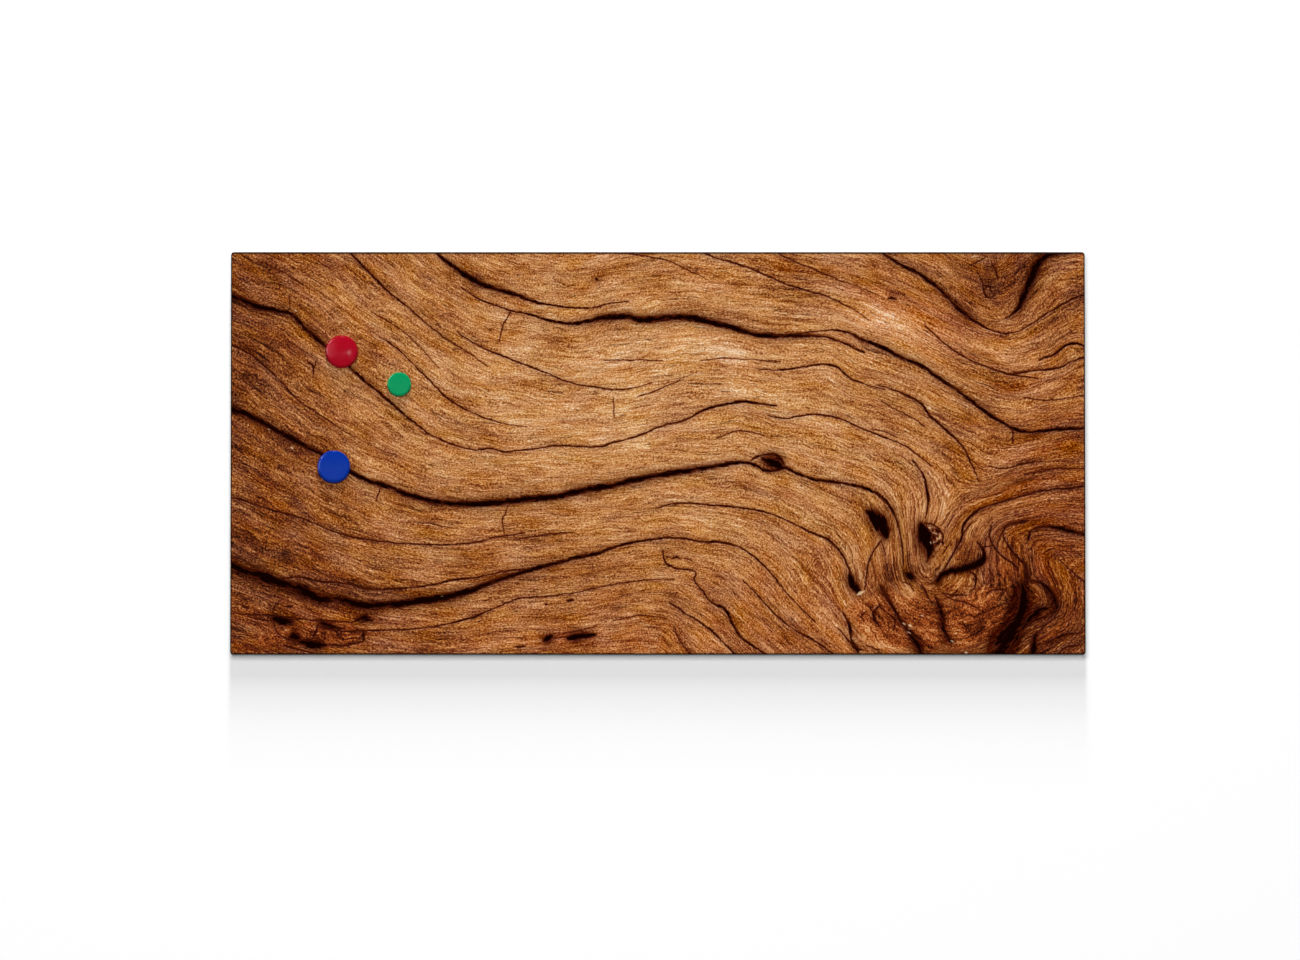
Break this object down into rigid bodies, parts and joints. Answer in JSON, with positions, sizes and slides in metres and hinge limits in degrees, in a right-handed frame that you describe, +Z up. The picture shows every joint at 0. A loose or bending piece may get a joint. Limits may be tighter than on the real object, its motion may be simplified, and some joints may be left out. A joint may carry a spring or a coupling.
{
  "type": "magnetic memo board",
  "caption": "Wide wall-hung memo board: folded steel tray with a wood-figured film on its face, backed panel with keyhole hangers and rubber pads, and round magnets.",
  "frame": {"origin": "the point of the wall behind the middle of the board: the rear faces of the rubber wall pads lie in the plane y = 0", "axes": "+X to the right along the board, +Z up, +Y into the wall; the printed face looks along -Y"},
  "size_m": [0.7806, 0.0293, 0.3706],
  "materials": {
    "galvanised_steel": "folded zinc-coated sheet, satin grey",
    "printed_film": "satin vinyl film with a printed cracked-wood figure",
    "honeycomb_board": "plain paper honeycomb board",
    "hardboard": "smooth brown hardboard",
    "zinc_plated_steel": "bright zinc plating",
    "rivet_aluminium": "plain drawn aluminium",
    "pad_rubber": "moulded black rubber",
    "red_plastic": "moulded, satin gloss",
    "green_plastic": "moulded, satin gloss",
    "blue_plastic": "moulded, satin gloss",
    "ferrite": "sintered ferrite, dull dark grey"
  },
  "bodies": {
    "board": {"steel_tray": "galvanised_steel", "printed_film": "printed_film", "filler_core": "honeycomb_board", "back_panel": "hardboard", "hanger_left": "zinc_plated_steel", "hanger_right": "zinc_plated_steel", "rivet_left_outer": "rivet_aluminium", "rivet_left_inner": "rivet_aluminium", "rivet_right_outer": "rivet_aluminium", "rivet_right_inner": "rivet_aluminium", "wall_pad_upper_left": "pad_rubber", "wall_pad_upper_right": "pad_rubber", "wall_pad_lower_left": "pad_rubber", "wall_pad_lower_right": "pad_rubber"},
    "red_magnet": {"red_magnet_cap": "red_plastic", "red_magnet_ferrite": "ferrite"},
    "green_magnet": {"green_magnet_cap": "green_plastic", "green_magnet_ferrite": "ferrite"},
    "blue_magnet": {"blue_magnet_cap": "blue_plastic", "blue_magnet_ferrite": "ferrite"}
  },
  "joints": [
    {"name": "red_magnet_pull", "type": "slide", "parent": "board", "child": "red_magnet", "axis": [0, -1, 0], "range_m": [0, 0.04]},
    {"name": "green_magnet_pull", "type": "slide", "parent": "board", "child": "green_magnet", "axis": [0, -1, 0], "range_m": [0, 0.04]},
    {"name": "blue_magnet_pull", "type": "slide", "parent": "board", "child": "blue_magnet", "axis": [0, -1, 0], "range_m": [0, 0.04]}
  ]
}
